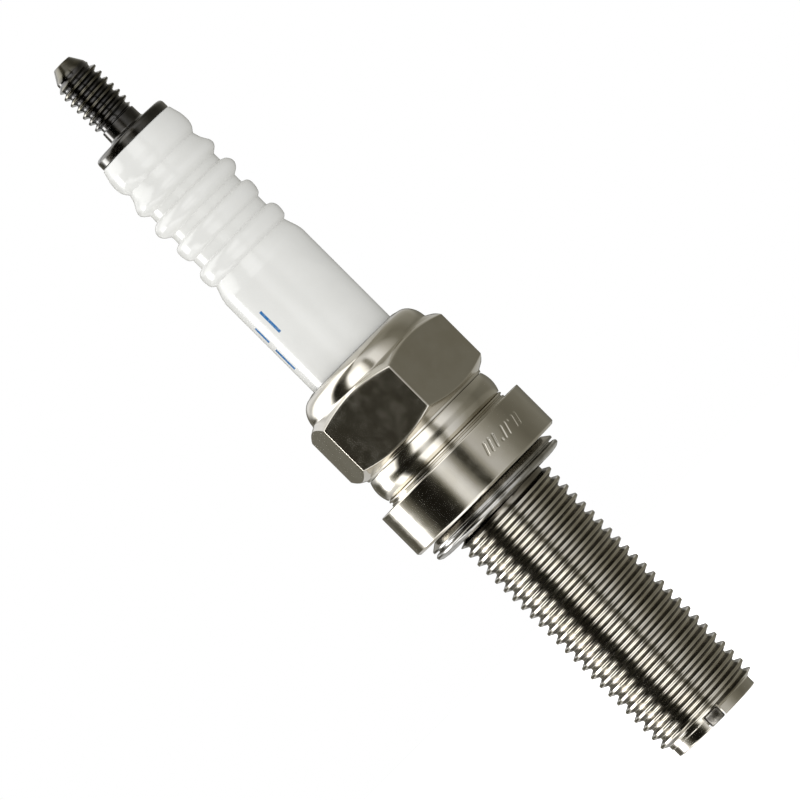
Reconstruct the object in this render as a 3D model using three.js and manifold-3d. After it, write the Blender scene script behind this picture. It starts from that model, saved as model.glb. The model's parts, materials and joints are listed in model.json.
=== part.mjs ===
// Spark plug with an M10 x 1.0 thread, a 26.5 mm reach and a 14 mm spanner hexagon.
//
// Millimetres. +Z runs along the plug's axis, from the firing end to the terminal.
// The origin is the centre of the firing-end face, and one hexagon flat faces -Y.
// Every outline is a list of [radius, height] points turned about +Z.

import * as THREE from "three";
import { mergeVertices } from "three/addons/utils/BufferGeometryUtils.js";
import Module from "manifold-3d";

// ---- Driving dimensions ------------------------------------------------------------

const SHELL_SEGMENTS = 40; // facets round the shell and the gasket
const CORE_SEGMENTS = 32; // facets round everything that nests inside the shell
const STUD_SEGMENTS = 24; // facets round the terminal stud
const ARC_STEPS = 4; // facets on each rounded edge
const CUT_MARGIN = 1; // how far a cutting solid runs past the face that it opens
const PRESS_GAP = 0.03; // radial gap left between pieces that are pressed or sealed together
const THREAD_FORM = [ // [share of one pitch, share of the thread's depth]
  [0.0, 0],
  [0.42, 1],
  [0.58, 1],
];
const THREAD_FADE = 0.4; // share of the pitch over which a thread rises from its root at each end

const SHELL_THREAD = {
  majorR: 4.9,
  minorR: 4.33,
  pitch: 1.0,
  zLow: 1.0,
  zHigh: 24.8,
  turnDeg: 261,
  segments: 20,
};
const PILOT_R = 4.25; // plain ends of the threaded barrel
const PILOT_EDGE = 0.2; // broken edge of the firing end
const SEAT_RING = { radius: 7.75, zLow: 26.5, zHigh: 30.8, edge: 0.15 };
const STEP_BAND = { radius: 6.34, zHigh: 31.5 };
const BUCKLED_GROOVE = { edgeR: 6.4, bulgeR: 6.55, zHigh: 33.6 };
const HEXAGON = { acrossFlats: 13.7, zLow: 33.8, zHigh: 40.0, chamferR: 6.45, chamferDeg: 30 };
const HEXAGON_CHAMFER_SEGMENTS = 60; // facets round the turned chamfers
const LIP = { footR: 6.42, roundR: 1.5, roundZ: 39.9, stretch: 1.3, fromDeg: 3, zHigh: 42.0, mouthR: 4.45 };

const BORE = { noseR: 3.0, seatZ: 14.2, bodyR: 3.45, bodyTopZ: 26.0, chamberR: 5.2 };
const BORE_MOUTH_R = 3.3; // countersink at the firing end
const CHAMBER_TOP = { z: 41.1, mouthZ: 41.25 }; // underside of the crimped lip

const INSULATOR = {
  tipZ: 1.6,
  tipR: 1.45,
  noseR: 2.35,
  bodyR: 3.35,
  bodyTopZ: 26.3,
  shoulderR: 5.05,
  shoulderLowZ: 28.1,
  shoulderHighZ: 36.4,
  barrelR: 4.38,
  barrelLowZ: 37.1,
  barrelHighZ: 52.1,
  topZ: 66.77,
  topR: 3.78,
};
const INSULATOR_BORE = { electrodeR: 1.14, stackR: 1.82, seatZ: 24.0 };
// Four ribs between the barrel's sloping shoulder and the swelling collar under the terminal.
const RIB_OUTLINE = [
  [4.28, 52.6], // shoulder
  [3.94, 53.68],
  [4.26, 54.0], // first rib
  [4.35, 54.6],
  [4.29, 55.1],
  [4.04, 55.48],
  [3.74, 55.66],
  [3.74, 56.36],
  [4.0, 56.55], // second rib, flat on top
  [4.17, 57.25],
  [4.19, 57.75],
  [4.0, 58.1],
  [3.62, 58.28],
  [3.62, 58.98],
  [4.1, 59.25], // third rib
  [4.36, 59.8],
  [4.33, 60.18],
  [4.05, 60.58],
  [3.65, 60.75],
  [3.65, 61.36],
  [4.05, 61.6], // fourth rib, with a long slope towards the terminal
  [4.26, 62.05],
  [4.22, 62.55],
  [3.8, 63.25],
  [3.65, 63.7],
  [3.97, 64.2], // collar
  [4.1, 64.85],
  [4.09, 65.55],
];

const SEAT_PACKING = { thickness: 0.3, innerR: 3.02, outerR: 3.4 };
const PACKING_WIRE_R = 0.37;
const PACKING_LOW_Z = 37.75;
const PACKING_HIGH_Z = 40.68;
const PACKING_ARC_STEPS = 8;

const ELECTRODE = { shaftR: 1.1, tipZ: 1.15, tipR: 0.5, coneZ: 1.9, headR: 1.74, headTopZ: 25.3 };
const ELECTRODE_BOSS = { radius: 1.05, zHigh: 26.3 };
const COPPER_CORE = { radius: 0.6, zLow: 3.0, zHigh: 25.9 };
const FIRING_TIP = { radius: 0.3, zLow: 0.25, zHigh: 1.12 };

const SIDE_ELECTRODE = { turnDeg: -70.6, width: 1.5, height: 1.05, innerR: 1.2, outerR: 4.2 };
const SIDE_ELECTRODE_TIP = { width: 0.9, height: 0.7, innerR: 0.95, lift: 0.18 };
const SIDE_SLOT_GAP = 0.05;

const SEAL_R = INSULATOR_BORE.stackR - PRESS_GAP;
const LOWER_SEAL = { zLow: 25.35, zHigh: 27.6 };
const RESISTOR = { zLow: 27.65, zHigh: 37.2 };
const UPPER_SEAL = { zLow: 37.25, zHigh: 41.2 };
const SEAL_POCKET_R = 1.35;
const SEAL_POCKET_GAP = 0.1; // between a metal end and the bottom of its pocket

const STUD = { tailR: 1.3, tailZ: 38.4, shankR: 1.7, shankZ: 41.3, grooves: 2, grooveDepth: 0.2 };
const TERMINAL = {
  flangeR: 3.69,
  flangeZ: 66.8,
  flangeTopZ: 67.7,
  roundR: 0.5,
  footR: 2.05,
  footTopZ: 68.0,
  neckR: 1.71,
  neckTopZ: 69.0,
};
const TERMINAL_THREAD = {
  majorR: 1.93,
  minorR: 1.55,
  pitch: 0.7,
  zLow: 69.0,
  zHigh: 74.3,
  turnDeg: 180,
  segments: 16,
};
const TERMINAL_TIP = { radius: 0.78, bulgeR: 1.3, bulgeZ: 74.68, z: 75.4 };

const GASKET = {
  innerR: 4.6,
  innerEdge: 0.2,
  landInnerR: 5.05,
  landOuterR: 5.9,
  outerR: 6.84,
  zLow: 24.87,
  leafR: 6.74,
  rimZ: 26.06,
  crownR: 6.1,
  zHigh: 26.42,
  dish: 0.2,
  roundR: 0.4,
  roundFromDeg: -75,
  roundToDeg: 30,
};
const GASKET_FOLD = { z: 25.72, depth: 0.35, edge: 0.08 };

// ---- Geometry helpers --------------------------------------------------------------

const wasm = await Module();
wasm.setup();

const MERGE_DISTANCE = 1e-5; // vertices this close are one vertex
const SEAM_ROUNDING = 1e-4; // heights are rounded so that both sides of a seam agree

function toSolid(geometry) {
  geometry.deleteAttribute("normal");
  geometry.deleteAttribute("uv");
  const merged = mergeVertices(geometry, MERGE_DISTANCE);
  const corners = merged.index.array;
  const triangles = [];
  for (let i = 0; i < corners.length; i += 3) {
    const [a, b, c] = corners.subarray(i, i + 3);
    if (a !== b && b !== c && c !== a) {
      triangles.push(a, b, c);
    }
  }
  const mesh = new wasm.Mesh({
    numProp: 3,
    vertProperties: new Float32Array(merged.attributes.position.array),
    triVerts: new Uint32Array(triangles),
  });
  return new wasm.Manifold(mesh);
}

function toGeometry(solid) {
  const mesh = solid.getMesh();
  const geometry = new THREE.BufferGeometry();
  geometry.setAttribute("position", new THREE.BufferAttribute(mesh.vertProperties, 3));
  geometry.setIndex(new THREE.BufferAttribute(mesh.triVerts, 1));
  geometry.computeVertexNormals();
  return geometry;
}

// LatheGeometry turns about Y, so the result is stood up to turn about Z.
function turned(outline, segments) {
  const points = outline.map(([radius, height]) => new THREE.Vector2(radius, height));
  const geometry = new THREE.LatheGeometry(points, segments);
  geometry.rotateX(Math.PI / 2);
  return toSolid(geometry);
}

// A turned ring: the outline closes on itself.
function turnedRing(outline, segments) {
  return turned([...outline, outline[0]], segments);
}

// stretch above 1 makes the arc taller than it is wide.
function arc(centreR, centreZ, radius, fromDeg, toDeg, steps, stretch = 1) {
  const points = [];
  for (let step = 0; step <= steps; step++) {
    const angle = THREE.MathUtils.degToRad(fromDeg + ((toDeg - fromDeg) * step) / steps);
    const height = centreZ + stretch * radius * Math.sin(angle);
    points.push([centreR + radius * Math.cos(angle), height]);
  }
  return points;
}

// A right-hand thread. The rings of a lathe climb by one pitch on the way round, so that
// each meets the next one. turnDeg turns the thread about its axis, which sets its start.
function threadedRod({ majorR, minorR, pitch, zLow, zHigh, turnDeg, segments }) {
  const rows = [new THREE.Vector2(0, zLow - pitch)];
  const turns = Math.ceil((zHigh - zLow) / pitch) + 1;
  for (let turn = -1; turn < turns; turn++) {
    for (const [share, depth] of THREAD_FORM) {
      rows.push(new THREE.Vector2(minorR + depth * (majorR - minorR), zLow + (turn + share) * pitch));
    }
  }
  rows.push(new THREE.Vector2(0, zHigh));
  const geometry = new THREE.LatheGeometry(rows, segments);
  const position = geometry.attributes.position;
  const fadeHeight = THREAD_FADE * pitch;
  for (let column = 0; column <= segments; column++) {
    const angle = (2 * Math.PI * (column % segments)) / segments;
    for (let row = 0; row < rows.length; row++) {
      const climbed = rows[row].y + (pitch * column) / segments;
      const rounded = Math.round(climbed / SEAM_ROUNDING) * SEAM_ROUNDING;
      const height = THREE.MathUtils.clamp(rounded, zLow, zHigh);
      const fade = Math.min(1, (height - zLow) / fadeHeight, (zHigh - height) / fadeHeight);
      const onAxis = rows[row].x === 0;
      const radius = onAxis ? 0 : minorR + (rows[row].x - minorR) * fade;
      const vertex = column * rows.length + row;
      position.setXYZ(vertex, radius * Math.sin(angle), height, radius * Math.cos(angle));
    }
  }
  geometry.rotateX(Math.PI / 2);
  geometry.rotateZ(THREE.MathUtils.degToRad(turnDeg));
  return toSolid(geometry);
}

// A bar that lies along a radius, at turnDeg counterclockwise from +X.
function radialBar(innerR, outerR, width, zLow, zHigh, turnDeg) {
  const geometry = new THREE.BoxGeometry(outerR - innerR, width, zHigh - zLow);
  geometry.translate((innerR + outerR) / 2, 0, (zLow + zHigh) / 2);
  geometry.rotateZ(THREE.MathUtils.degToRad(turnDeg));
  return toSolid(geometry);
}

// ---- Steel shell and gasket --------------------------------------------------------

function shellBody() {
  const outline = [
    [0, 0],
    [PILOT_R - PILOT_EDGE, 0],
    [PILOT_R, PILOT_EDGE],
    [PILOT_R, SEAT_RING.zLow],
    [SEAT_RING.radius - SEAT_RING.edge, SEAT_RING.zLow],
    [SEAT_RING.radius, SEAT_RING.zLow + SEAT_RING.edge],
    [SEAT_RING.radius, SEAT_RING.zHigh - SEAT_RING.edge],
    [SEAT_RING.radius - SEAT_RING.edge, SEAT_RING.zHigh],
    [STEP_BAND.radius, SEAT_RING.zHigh],
    [STEP_BAND.radius, STEP_BAND.zHigh],
    [BUCKLED_GROOVE.edgeR, STEP_BAND.zHigh],
    [BUCKLED_GROOVE.bulgeR, (STEP_BAND.zHigh + BUCKLED_GROOVE.zHigh) / 2],
    [BUCKLED_GROOVE.edgeR, BUCKLED_GROOVE.zHigh],
    [LIP.footR, HEXAGON.zLow],
    ...arc(LIP.footR - LIP.roundR, LIP.roundZ, LIP.roundR, LIP.fromDeg, 90, ARC_STEPS, LIP.stretch),
    [LIP.mouthR, LIP.zHigh],
    [0, LIP.zHigh],
  ];
  return turned(outline, SHELL_SEGMENTS);
}

// The spanner hexagon, with its corners turned off at both ends.
function hexagon() {
  const cornerR = HEXAGON.acrossFlats / 2 / Math.cos(Math.PI / 6);
  const height = HEXAGON.zHigh - HEXAGON.zLow;
  const prism = new THREE.CylinderGeometry(cornerR, cornerR, height, 6);
  prism.rotateX(Math.PI / 2);
  prism.rotateZ(Math.PI / 6);
  prism.translate(0, 0, HEXAGON.zLow + height / 2);
  const beyondR = cornerR + CUT_MARGIN;
  const drop = (beyondR - HEXAGON.chamferR) * Math.tan(THREE.MathUtils.degToRad(HEXAGON.chamferDeg));
  const turnedBlank = [
    [0, HEXAGON.zLow],
    [HEXAGON.chamferR, HEXAGON.zLow],
    [beyondR, HEXAGON.zLow + drop],
    [beyondR, HEXAGON.zHigh - drop],
    [HEXAGON.chamferR, HEXAGON.zHigh],
    [0, HEXAGON.zHigh],
  ];
  return toSolid(prism).intersect(turned(turnedBlank, HEXAGON_CHAMFER_SEGMENTS));
}

function shellBore() {
  const mouthDepth = BORE_MOUTH_R - BORE.noseR;
  const outline = [
    [0, -CUT_MARGIN],
    [BORE_MOUTH_R + CUT_MARGIN, -CUT_MARGIN],
    [BORE.noseR, mouthDepth],
    [BORE.noseR, BORE.seatZ],
    [BORE.bodyR, BORE.seatZ + BORE.bodyR - BORE.noseR],
    [BORE.bodyR, BORE.bodyTopZ],
    [BORE.chamberR, BORE.bodyTopZ + BORE.chamberR - BORE.bodyR],
    [BORE.chamberR, CHAMBER_TOP.z],
    [LIP.mouthR, CHAMBER_TOP.mouthZ],
    [LIP.mouthR, LIP.zHigh + CUT_MARGIN],
    [0, LIP.zHigh + CUT_MARGIN],
  ];
  return turned(outline, CORE_SEGMENTS);
}

function makeShell() {
  const slot = radialBar(
    BORE.noseR - CUT_MARGIN,
    PILOT_R + CUT_MARGIN,
    SIDE_ELECTRODE.width + 2 * SIDE_SLOT_GAP,
    -CUT_MARGIN,
    SIDE_ELECTRODE.height + SIDE_SLOT_GAP,
    SIDE_ELECTRODE.turnDeg,
  );
  const outside = shellBody().add(threadedRod(SHELL_THREAD)).add(hexagon());
  return outside.subtract(shellBore()).subtract(slot);
}

// A crushed ring of folded steel, captive between the thread and the seat ring. The head's spot
// face bears on its lower land, and its upper leaf is coned up towards the axis.
function makeGasket() {
  const edgeR = GASKET.outerR - GASKET.roundR;
  const lobeZ = GASKET.zLow + GASKET.dish + GASKET.roundR;
  return turnedRing(
    [
      [GASKET.innerR, GASKET.zLow + GASKET.innerEdge],
      [GASKET.landInnerR, GASKET.zLow],
      [GASKET.landOuterR, GASKET.zLow],
      ...arc(edgeR, lobeZ, GASKET.roundR, GASKET.roundFromDeg, GASKET.roundToDeg, ARC_STEPS),
      [GASKET.outerR - GASKET_FOLD.depth, GASKET_FOLD.z],
      [GASKET.leafR, GASKET_FOLD.z + GASKET_FOLD.edge],
      [GASKET.leafR, GASKET.rimZ - GASKET_FOLD.edge],
      [GASKET.leafR - GASKET_FOLD.edge, GASKET.rimZ],
      [GASKET.crownR, GASKET.zHigh],
      [GASKET.innerR, GASKET.zHigh],
    ],
    SHELL_SEGMENTS,
  );
}

// ---- Ceramic insulator and its packings --------------------------------------------

function makeInsulator() {
  const seatLift = SEAT_PACKING.thickness * Math.SQRT2 + 3 * PRESS_GAP;
  const seatLine = (radius) => BORE.seatZ + radius - BORE.noseR + seatLift;
  const boreSeatHighZ = INSULATOR_BORE.seatZ + INSULATOR_BORE.stackR - INSULATOR_BORE.electrodeR;
  return turnedRing(
    [
      [INSULATOR_BORE.electrodeR, INSULATOR.tipZ],
      [INSULATOR.tipR, INSULATOR.tipZ],
      [INSULATOR.noseR, seatLine(INSULATOR.noseR)],
      [INSULATOR.bodyR, seatLine(INSULATOR.bodyR)],
      [INSULATOR.bodyR, INSULATOR.bodyTopZ],
      [INSULATOR.shoulderR, INSULATOR.shoulderLowZ],
      [INSULATOR.shoulderR, INSULATOR.shoulderHighZ],
      [INSULATOR.barrelR, INSULATOR.barrelLowZ],
      [INSULATOR.barrelR, INSULATOR.barrelHighZ],
      ...RIB_OUTLINE,
      [INSULATOR.topR, INSULATOR.topZ],
      [INSULATOR_BORE.stackR, INSULATOR.topZ],
      [INSULATOR_BORE.stackR, boreSeatHighZ],
      [INSULATOR_BORE.electrodeR, INSULATOR_BORE.seatZ],
    ],
    CORE_SEGMENTS,
  );
}

// The thin washer that seals the insulator on the shell's inner seat.
function makeSeatPacking() {
  const seatLine = (radius) => BORE.seatZ + radius - BORE.noseR + PRESS_GAP;
  const height = SEAT_PACKING.thickness * Math.SQRT2;
  return turnedRing(
    [
      [SEAT_PACKING.innerR, seatLine(SEAT_PACKING.innerR)],
      [SEAT_PACKING.outerR, seatLine(SEAT_PACKING.outerR)],
      [SEAT_PACKING.outerR, seatLine(SEAT_PACKING.outerR) + height],
      [SEAT_PACKING.innerR, seatLine(SEAT_PACKING.innerR) + height],
    ],
    CORE_SEGMENTS,
  );
}

function makePackingWire(centreZ) {
  const centreR = (INSULATOR.barrelR + BORE.chamberR) / 2;
  const section = arc(centreR, centreZ, PACKING_WIRE_R, 0, 360, PACKING_ARC_STEPS);
  return turned(section, CORE_SEGMENTS);
}

function makeTalcPacking() {
  const zLow = PACKING_LOW_Z + PACKING_WIRE_R + PRESS_GAP;
  const zHigh = PACKING_HIGH_Z - PACKING_WIRE_R - PRESS_GAP;
  return turnedRing(
    [
      [INSULATOR.barrelR + PRESS_GAP, zLow],
      [BORE.chamberR - PRESS_GAP, zLow],
      [BORE.chamberR - PRESS_GAP, zHigh],
      [INSULATOR.barrelR + PRESS_GAP, zHigh],
    ],
    CORE_SEGMENTS,
  );
}

// ---- Electrodes --------------------------------------------------------------------

// Nickel jacket: its head rests in the insulator's bore, and its back end is open for the core.
function makeCentreElectrode() {
  const headZ = INSULATOR_BORE.seatZ + PRESS_GAP;
  const pocketR = COPPER_CORE.radius + PRESS_GAP;
  return turned(
    [
      [0, ELECTRODE.tipZ],
      [ELECTRODE.tipR, ELECTRODE.tipZ],
      [ELECTRODE.shaftR, ELECTRODE.coneZ],
      [ELECTRODE.shaftR, headZ],
      [ELECTRODE.headR, headZ + ELECTRODE.headR - ELECTRODE.shaftR],
      [ELECTRODE.headR, ELECTRODE.headTopZ],
      [ELECTRODE_BOSS.radius, ELECTRODE.headTopZ],
      [ELECTRODE_BOSS.radius, ELECTRODE_BOSS.zHigh],
      [pocketR, ELECTRODE_BOSS.zHigh],
      [pocketR, COPPER_CORE.zLow - PRESS_GAP],
      [0, COPPER_CORE.zLow - PRESS_GAP],
    ],
    CORE_SEGMENTS,
  );
}

function solidRod(radius, zLow, zHigh) {
  const outline = [
    [0, zLow],
    [radius, zLow],
    [radius, zHigh],
    [0, zHigh],
  ];
  return turned(outline, CORE_SEGMENTS);
}

function makeSideElectrode() {
  const { innerR, outerR, width, height, turnDeg } = SIDE_ELECTRODE;
  return radialBar(innerR, outerR, width, 0, height, turnDeg);
}

function makeSideElectrodeTip() {
  const { innerR, width, height, lift } = SIDE_ELECTRODE_TIP;
  const outerR = SIDE_ELECTRODE.innerR - PRESS_GAP;
  return radialBar(innerR, outerR, width, lift, lift + height, SIDE_ELECTRODE.turnDeg);
}

// ---- Conductor stack and terminal --------------------------------------------------

// A glass seal: a plug with a pocket for the metal end that it holds.
function makeSeal({ zLow, zHigh }, pocketLowZ, pocketHighZ) {
  const body = solidRod(SEAL_R, zLow, zHigh);
  return body.subtract(solidRod(SEAL_POCKET_R, pocketLowZ, pocketHighZ));
}

function makeTerminalStud() {
  const grooveStep = (STUD.shankZ - STUD.tailZ) / (STUD.grooves + 1);
  const tail = [];
  for (let groove = 1; groove <= STUD.grooves; groove++) {
    const z = STUD.tailZ + groove * grooveStep;
    tail.push([STUD.tailR, z - STUD.grooveDepth]);
    tail.push([STUD.tailR - STUD.grooveDepth, z]);
    tail.push([STUD.tailR, z + STUD.grooveDepth]);
  }
  const flangeEdge = arc(
    TERMINAL.flangeR - TERMINAL.roundR,
    TERMINAL.flangeTopZ - TERMINAL.roundR,
    TERMINAL.roundR,
    0,
    90,
    ARC_STEPS,
  );
  const body = turned(
    [
      [0, STUD.tailZ],
      [STUD.tailR, STUD.tailZ],
      ...tail,
      [STUD.tailR, STUD.shankZ],
      [STUD.shankR, STUD.shankZ],
      [STUD.shankR, TERMINAL.flangeZ],
      [TERMINAL.flangeR, TERMINAL.flangeZ],
      ...flangeEdge,
      [TERMINAL.footR, TERMINAL.flangeTopZ],
      [TERMINAL.neckR, TERMINAL.footTopZ],
      [TERMINAL.neckR, TERMINAL.neckTopZ],
      [TERMINAL_THREAD.minorR - PRESS_GAP, TERMINAL.neckTopZ],
      [TERMINAL_THREAD.minorR - PRESS_GAP, TERMINAL_THREAD.zHigh],
      [TERMINAL_TIP.bulgeR, TERMINAL_TIP.bulgeZ],
      [TERMINAL_TIP.radius, TERMINAL_TIP.z],
      [0, TERMINAL_TIP.z],
    ],
    STUD_SEGMENTS,
  );
  return body.add(threadedRod(TERMINAL_THREAD));
}

// ---- Assembly ----------------------------------------------------------------------

const STEEL = { color: 0xb9b3a6, roughness: 0.2, metalness: 1 };
const GASKET_STEEL = { color: 0xb6b6b4, roughness: 0.35, metalness: 1 };
const DARK_STEEL = { color: 0x4a453d, roughness: 0.3, metalness: 1 };
const CERAMIC = { color: 0xf0f0ec, roughness: 0.12, metalness: 0 };
const NICKEL = { color: 0x9b978f, roughness: 0.35, metalness: 1 };
const COPPER = { color: 0xb8663f, roughness: 0.35, metalness: 1 };
const IRIDIUM = { color: 0xc9cacb, roughness: 0.25, metalness: 1 };
const SEAL_GLASS = { color: 0x6b4a3a, roughness: 0.4, metalness: 0 };
const CARBON = { color: 0x26241f, roughness: 0.8, metalness: 0 };
const TALC = { color: 0xdedbd2, roughness: 0.95, metalness: 0 };

const plug = new THREE.Group();

function addPart(name, solid, look) {
  const mesh = new THREE.Mesh(toGeometry(solid), new THREE.MeshStandardMaterial(look));
  mesh.name = name;
  plug.add(mesh);
}

addPart("shell", makeShell(), STEEL);
addPart("gasket", makeGasket(), GASKET_STEEL);
addPart("insulator", makeInsulator(), CERAMIC);
addPart("seat_packing", makeSeatPacking(), GASKET_STEEL);
addPart("packing_ring_lower", makePackingWire(PACKING_LOW_Z), GASKET_STEEL);
addPart("packing_ring_upper", makePackingWire(PACKING_HIGH_Z), GASKET_STEEL);
addPart("talc_packing", makeTalcPacking(), TALC);
addPart("centre_electrode", makeCentreElectrode(), NICKEL);
addPart("centre_electrode_core", solidRod(COPPER_CORE.radius, COPPER_CORE.zLow, COPPER_CORE.zHigh), COPPER);
addPart("centre_electrode_tip", solidRod(FIRING_TIP.radius, FIRING_TIP.zLow, FIRING_TIP.zHigh), IRIDIUM);
addPart("ground_electrode", makeSideElectrode(), NICKEL);
addPart("ground_electrode_tip", makeSideElectrodeTip(), IRIDIUM);
addPart(
  "glass_seal_lower",
  makeSeal(LOWER_SEAL, LOWER_SEAL.zLow - CUT_MARGIN, ELECTRODE_BOSS.zHigh + SEAL_POCKET_GAP),
  SEAL_GLASS,
);
addPart("resistor", solidRod(SEAL_R, RESISTOR.zLow, RESISTOR.zHigh), CARBON);
addPart(
  "glass_seal_upper",
  makeSeal(UPPER_SEAL, STUD.tailZ - SEAL_POCKET_GAP, UPPER_SEAL.zHigh + CUT_MARGIN),
  SEAL_GLASS,
);
addPart("terminal_stud", makeTerminalStud(), DARK_STEEL);

export default plug;
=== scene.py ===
"""Spark plug: the fine surfaces, materials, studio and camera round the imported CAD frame.

Outlines are lists of (radius, height, corner radius) in millimetres, turned about the plug's axis, +Z.
"""

import json
import math

import bmesh
import bpy
from mathutils import Matrix, Vector


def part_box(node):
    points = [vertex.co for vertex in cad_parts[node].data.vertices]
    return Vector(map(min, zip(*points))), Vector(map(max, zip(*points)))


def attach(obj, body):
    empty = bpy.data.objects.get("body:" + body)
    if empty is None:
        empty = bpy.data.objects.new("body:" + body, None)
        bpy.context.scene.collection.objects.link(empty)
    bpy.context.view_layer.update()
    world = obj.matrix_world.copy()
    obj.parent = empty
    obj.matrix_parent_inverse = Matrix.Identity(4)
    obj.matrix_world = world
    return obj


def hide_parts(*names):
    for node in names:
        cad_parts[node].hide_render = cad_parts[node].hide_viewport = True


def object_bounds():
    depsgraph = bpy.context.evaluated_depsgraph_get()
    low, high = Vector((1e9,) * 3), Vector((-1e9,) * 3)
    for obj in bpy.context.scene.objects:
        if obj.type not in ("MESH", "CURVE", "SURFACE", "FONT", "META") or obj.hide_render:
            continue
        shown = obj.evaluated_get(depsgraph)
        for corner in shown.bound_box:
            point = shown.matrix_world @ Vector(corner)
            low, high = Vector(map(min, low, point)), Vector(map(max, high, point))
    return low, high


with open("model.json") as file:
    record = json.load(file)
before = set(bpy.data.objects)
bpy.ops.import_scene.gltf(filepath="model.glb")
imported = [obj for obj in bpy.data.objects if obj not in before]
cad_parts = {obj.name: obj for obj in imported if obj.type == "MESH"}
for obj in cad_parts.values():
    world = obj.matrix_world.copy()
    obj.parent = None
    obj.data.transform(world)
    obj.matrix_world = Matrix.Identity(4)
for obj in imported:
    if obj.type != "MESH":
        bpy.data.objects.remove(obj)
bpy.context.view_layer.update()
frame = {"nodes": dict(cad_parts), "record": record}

# ---- The frame's own measures, in millimetres -------------------------------------------

MM = 0.001
MOUNTS = {mount["name"]: mount["pos_m"] for mount in frame["record"]["mounts"]}


def box_mm(node):
    """A CAD node's widest radius, lowest and highest points, in millimetres."""
    low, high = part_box(node)
    return max(high[0], high[1]) / MM, low[2] / MM, high[2] / MM


_, SHELL_LOW, SHELL_TOP = box_mm("shell")
GASKET_R, GASKET_LOW, GASKET_TOP = box_mm("gasket")
INSULATOR_R, INSULATOR_LOW, INSULATOR_TOP = box_mm("insulator")
FLANGE_R, STUD_LOW, STUD_TOP = box_mm("terminal_stud")
ELECTRODE_R, ELECTRODE_LOW, ELECTRODE_TOP = box_mm("centre_electrode")
TIP_R, TIP_LOW, TIP_TOP = box_mm("centre_electrode_tip")
_, BAR_LOW, BAR_HIGH = box_mm("ground_electrode")
_, PAD_LOW, PAD_HIGH = box_mm("ground_electrode_tip")

GASKET_PLAY = 0.08  # between the gasket and the seat ring
SEAT_Z = GASKET_TOP + GASKET_PLAY  # underside of the seat ring
HEX_APOTHEM = -MOUNTS["hexagon_flat"][1] / MM
FLANGE_TOP = MOUNTS["terminal_face"][2] / MM

# ---- Driving dimensions, in millimetres -------------------------------------------------

VIEW_AZIMUTH = 19.4  # degrees from -Y towards +X
FRONT = VIEW_AZIMUTH - 90  # direction of the camera, counterclockwise from +X

THREAD_CREST_R = 4.9
THREAD_ROOT_R = 4.33
THREAD_PITCH = 1.0
THREAD_LOW = SHELL_LOW + 0.85
THREAD_HIGH = SEAT_Z - 1.7
THREAD_FADES = (0.3, 0.3)  # the lengths over which the thread rises and runs out
THREAD_START = SHELL_LOW + 0.03  # height of one crest at angle 0

TERMINAL_CREST_R = 1.9
TERMINAL_ROOT_R = 1.5
TERMINAL_PITCH = 0.7
TERMINAL_THREAD_LOW = FLANGE_TOP + 1.3
TERMINAL_THREAD_HIGH = STUD_TOP - 1.1
TERMINAL_FADES = (0.4, 0.9)
TERMINAL_START = TERMINAL_THREAD_LOW + 0.13

# One side of a ridge, from its crowned crest to the hollow root: (share of the pitch, share of
# the depth). The other side mirrors it.
THREAD_SIDE = [
    (0.0, 1.0),
    (0.04, 0.999),
    (0.08, 0.994),
    (0.12, 0.97),
    (0.4, 0.03),
    (0.44, 0.012),
    (0.47, 0.003),
    (0.5, 0.0),
]
THREAD_FORM = THREAD_SIDE + [(1 - share, depth) for share, depth in reversed(THREAD_SIDE[1:-1])]

PILOT_R = 4.25  # plain ends of the threaded barrel
BAR_INNER_R = 1.2  # the ground electrode, a bar across the rim
BAR_OUTER_R = PILOT_R + 0.03
BAR_WIDTH = 1.46
BAR_ROUND = 0.16
PAD_INNER_R = 0.95  # the pad on its inner end
PAD_OUTER_R = 1.21
PAD_WIDTH = 0.9
PAD_ROUND = 0.04
SLOT_REACH = (2.0, 5.2)  # from inside the bore to outside the thread
SLOT_WIDTH = 1.7
SLOT_GAP = 0.1  # between the slot's top and the ground electrode
BORE_R = 3.0
MOUTH_R = 3.3  # countersink at the firing end
SEAM_Z = SHELL_LOW + 4  # inside the bore, where the shell's skin starts and ends
UNDERSIDE_R = PILOT_R + 1  # under the seat ring, where the finer division of the collar starts
SEAT_LEDGE_Z = SHELL_LOW + 14.2  # where the bore widens for the seat packing
BODY_BORE_R = 3.45
CHAMBER_R = 5.2  # of the talc chamber
RING_R = 7.75
RING_TOP = SEAT_Z + 4.3
BAND_R = 6.25
BAND_TOP = SEAT_Z + 4.95
BULGE_R = 6.55
BULGE_ROUND = 2.6
BULGE_FOOT = 0.25  # from the bulge to the hexagon's foot
HEX_LOW = SEAT_Z + 7.3
HEX_HIGH = SEAT_Z + 13.5
HEX_FOOT_R = 6.45
HEX_CHAMFER = math.tan(math.radians(30))
HEX_CORNER_ROUND = 0.14
HEX_EDGE_ROUND = 0.07
# From the chamfer over its rounded edge to the flat, in HEX_EDGE_ROUNDs: (inward, along the axis).
HEX_EDGE = [(6, -6 * HEX_CHAMFER), (1, -HEX_CHAMFER), (0.4, -0.05), (0.1, 0.45), (0, 1), (0, 5)]
LIP_R = 6.42
LIP_ROUND = 1.5
LIP_STRETCH = 1.3
LIP_MOUTH_R = 4.45
LIP_INNER_Z = SHELL_TOP - 0.5

GASKET_INNER_R = 4.6

BARREL_STEPS = 144
TERMINAL_STEPS = 96
CENTRE_STEPS = 48
TIP_STEPS = 32
COLLAR_STEP = 2.0  # degrees
STAMP_STEP = 0.3  # degrees
NEAR_CORNER = (0, 0.15, 0.3, 0.5, 0.8, 1.3)  # degrees either side of a hexagon corner
SHARP_DEG = 40  # faces that meet at more than this keep a sharp edge
WELD = 2e-7  # metres

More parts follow.
